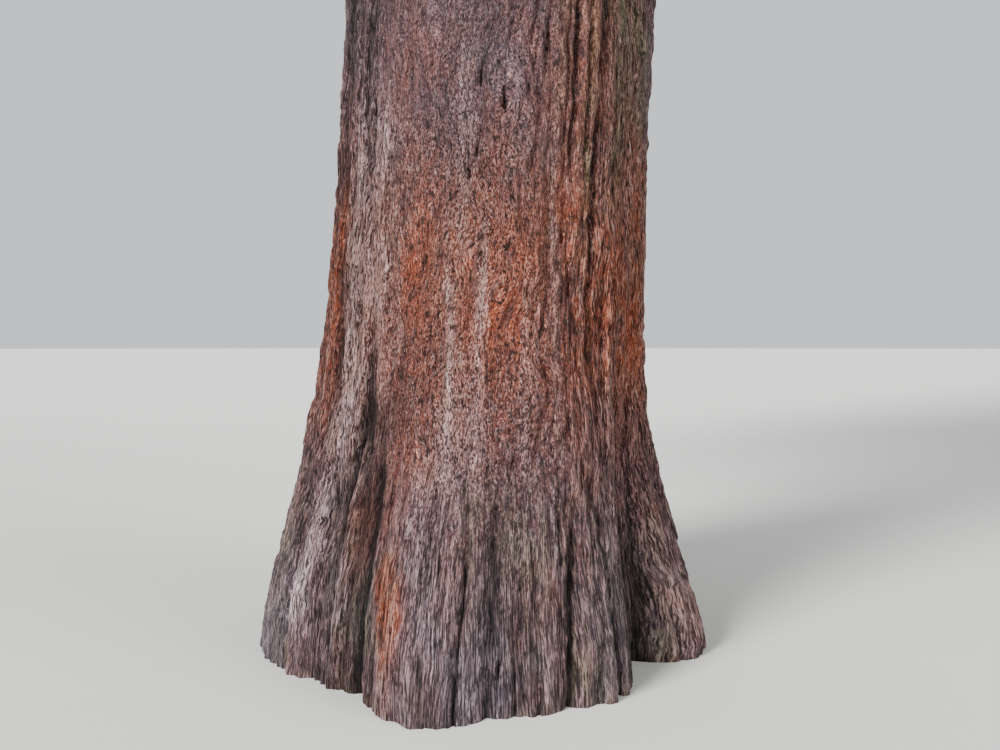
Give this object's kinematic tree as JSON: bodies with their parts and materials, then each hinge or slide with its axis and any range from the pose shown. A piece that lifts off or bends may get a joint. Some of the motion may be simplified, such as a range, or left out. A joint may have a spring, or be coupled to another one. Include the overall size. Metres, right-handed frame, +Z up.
{
  "type": "giant sequoia tree",
  "caption": "Tall conifer with a tapering trunk that flares into root lobes at the ground, spiral boughs and a narrow conical crown of dense foliage masses.",
  "frame": {"origin": "middle of the trunk's flat cut at ground level", "axes": "+Z up along the trunk, -Y towards the side of the trunk that is looked at, +X to the right of it"},
  "size_m": [11.4462, 11.2736, 30.9982],
  "materials": {
    "bark": "fibrous, deeply furrowed bark",
    "foliage": "matt"
  },
  "bodies": {
    "root": {"trunk": "bark", "bough_01": "bark", "bough_02": "bark", "bough_03": "bark", "bough_04": "bark", "bough_05": "bark", "bough_06": "bark", "bough_07": "bark", "bough_08": "bark", "bough_09": "bark", "bough_10": "bark", "bough_11": "bark", "bough_12": "bark", "foliage_01": "foliage", "foliage_02": "foliage", "foliage_03": "foliage", "foliage_04": "foliage", "foliage_05": "foliage", "foliage_06": "foliage", "foliage_07": "foliage", "foliage_08": "foliage", "foliage_09": "foliage", "foliage_10": "foliage", "foliage_11": "foliage", "foliage_12": "foliage", "foliage_13": "foliage", "foliage_14": "foliage", "foliage_15": "foliage", "foliage_16": "foliage", "foliage_17": "foliage", "foliage_18": "foliage", "foliage_19": "foliage", "foliage_20": "foliage", "foliage_21": "foliage", "foliage_22": "foliage", "foliage_23": "foliage", "foliage_24": "foliage", "foliage_25": "foliage", "foliage_26": "foliage", "foliage_27": "foliage", "foliage_28": "foliage", "foliage_29": "foliage", "foliage_30": "foliage", "foliage_31": "foliage", "foliage_32": "foliage", "foliage_33": "foliage", "foliage_34": "foliage", "foliage_35": "foliage", "foliage_36": "foliage", "foliage_37": "foliage", "foliage_38": "foliage", "foliage_39": "foliage", "foliage_40": "foliage", "foliage_41": "foliage", "foliage_42": "foliage", "foliage_43": "foliage", "foliage_44": "foliage", "foliage_45": "foliage", "foliage_46": "foliage", "foliage_top": "foliage"}
  },
  "joints": []
}
